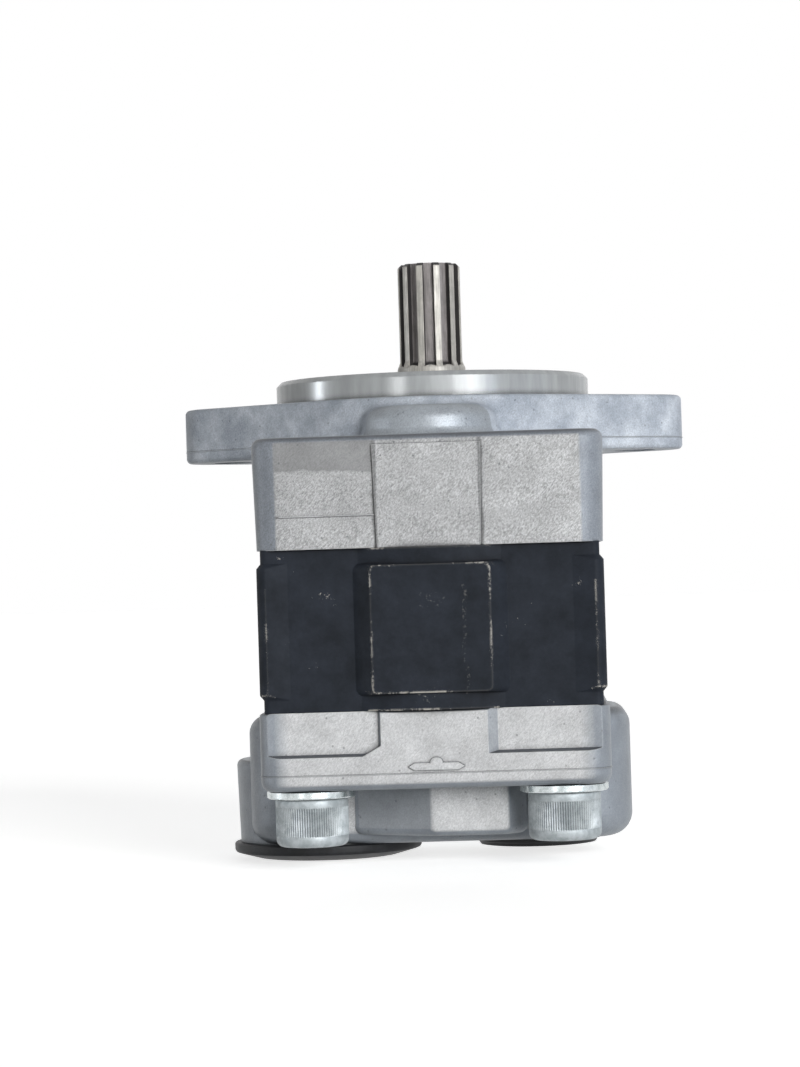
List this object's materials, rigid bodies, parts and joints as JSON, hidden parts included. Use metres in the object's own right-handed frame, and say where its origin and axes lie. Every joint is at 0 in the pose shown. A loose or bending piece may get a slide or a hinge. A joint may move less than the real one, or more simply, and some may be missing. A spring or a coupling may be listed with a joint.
{
  "type": "hydraulic pump",
  "caption": "External gear pump with a round pilot, a two-bolt flange, a splined shaft and two capped rear ports.",
  "frame": {"origin": "centre of the mounting face, on the drive shaft's axis", "axes": "+Z along the drive shaft and away from the pump, +X through one flange ear, -Y towards the driven gear"},
  "size_m": [0.1316, 0.121, 0.1541],
  "materials": {
    "cast_aluminium": "cast, satin",
    "black_housing": "black coating, satin",
    "shaft_steel": "ground and hardened",
    "zinc_steel": "zinc plated",
    "bearing_bronze": "machined",
    "seal_rubber": "moulded",
    "spring_steel": "phosphated",
    "cap_plastic": "moulded black polyethylene"
  },
  "bodies": {
    "pump_body": {"front_cover": "cast_aluminium", "gear_housing": "black_housing", "rear_cover": "cast_aluminium", "front_drive_bush": "bearing_bronze", "front_driven_bush": "bearing_bronze", "rear_drive_bush": "bearing_bronze", "rear_driven_bush": "bearing_bronze", "front_side_plate": "bearing_bronze", "rear_side_plate": "bearing_bronze", "front_plate_seal": "seal_rubber", "rear_plate_seal": "seal_rubber", "front_housing_seal": "seal_rubber", "rear_housing_seal": "seal_rubber", "shaft_seal_case": "spring_steel", "shaft_seal_lip": "seal_rubber", "shaft_seal_spring": "spring_steel", "seal_snap_ring": "spring_steel", "cover_bolt_1": "zinc_steel", "cover_bolt_2": "zinc_steel", "cover_bolt_3": "zinc_steel", "cover_bolt_4": "zinc_steel", "cover_washer_1": "zinc_steel", "cover_washer_2": "zinc_steel", "cover_washer_3": "zinc_steel", "cover_washer_4": "zinc_steel", "dowel_pin_1": "shaft_steel", "dowel_pin_2": "shaft_steel", "dowel_pin_3": "shaft_steel", "dowel_pin_4": "shaft_steel"},
    "drive_gear": {"drive_gear_shaft": "shaft_steel"},
    "driven_gear": {"driven_gear_shaft": "shaft_steel"},
    "suction_cap": {"suction_port_cap": "cap_plastic"},
    "pressure_cap": {"pressure_port_cap": "cap_plastic"}
  },
  "joints": [
    {"name": "drive_shaft_spin", "type": "hinge", "parent": "pump_body", "child": "drive_gear", "pos_m": [0, 0, 0], "axis": [0, 0, 1], "continuous": true},
    {"name": "driven_gear_spin", "type": "hinge", "parent": "pump_body", "child": "driven_gear", "pos_m": [0, -0.0381, 0], "axis": [0, 0, 1], "continuous": true},
    {"name": "suction_cap_pull", "type": "slide", "parent": "pump_body", "child": "suction_cap", "axis": [0, 0, -1], "range_m": [0, 0.06]},
    {"name": "pressure_cap_pull", "type": "slide", "parent": "pump_body", "child": "pressure_cap", "axis": [0, 0, -1], "range_m": [0, 0.06]}
  ],
  "couplings": [
    {"joint": "driven_gear_spin", "follows": "drive_shaft_spin", "ratio": -1}
  ]
}
